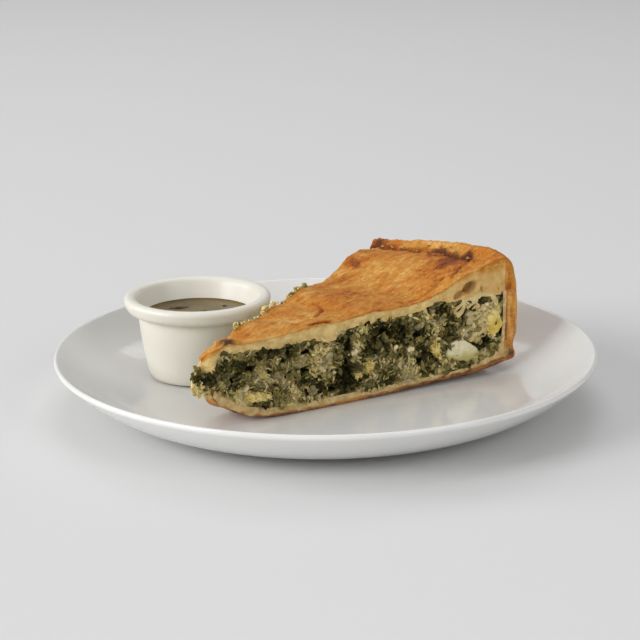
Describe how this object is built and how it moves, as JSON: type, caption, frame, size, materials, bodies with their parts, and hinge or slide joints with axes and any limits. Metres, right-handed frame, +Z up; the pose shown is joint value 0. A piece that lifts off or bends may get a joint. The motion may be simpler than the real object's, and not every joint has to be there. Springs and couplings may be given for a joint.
{
  "type": "slice of spinach and egg pie on a plate",
  "caption": "Wedge of tall spinach pie with a browned lid and chopped egg, served on a white coupe plate with a ramekin of oil dressing.",
  "frame": {"origin": "middle of the plate, at the height of the table that its foot ring stands on", "axes": "+Z up; +Y away from the diner; +X to the diner's right, where the crust of the slice lies"},
  "size_m": [0.25, 0.25, 0.0629],
  "materials": {
    "white_glaze": "glossy white glaze",
    "cream_glaze": "glossy cream white glaze",
    "dressing": "wet, clear olive brown oil dressing",
    "base_crust": "baked dough, pale at the cut and orange brown outside",
    "lid_crust": "glazed, browned flaky dough",
    "spinach": "moist chopped spinach with onion and egg",
    "egg_white": "firm boiled egg white",
    "egg_yolk": "crumbly boiled egg yolk"
  },
  "bodies": {
    "root": {"plate": "white_glaze", "ramekin": "cream_glaze", "dressing": "dressing", "crust_base": "base_crust", "crust_lid": "lid_crust", "filling": "spinach", "egg_white_1": "egg_white", "egg_white_2": "egg_white", "egg_yolk_1": "egg_yolk", "egg_yolk_2": "egg_yolk", "egg_yolk_3": "egg_yolk", "egg_yolk_4": "egg_yolk", "egg_yolk_5": "egg_yolk", "egg_yolk_6": "egg_yolk"}
  },
  "joints": []
}
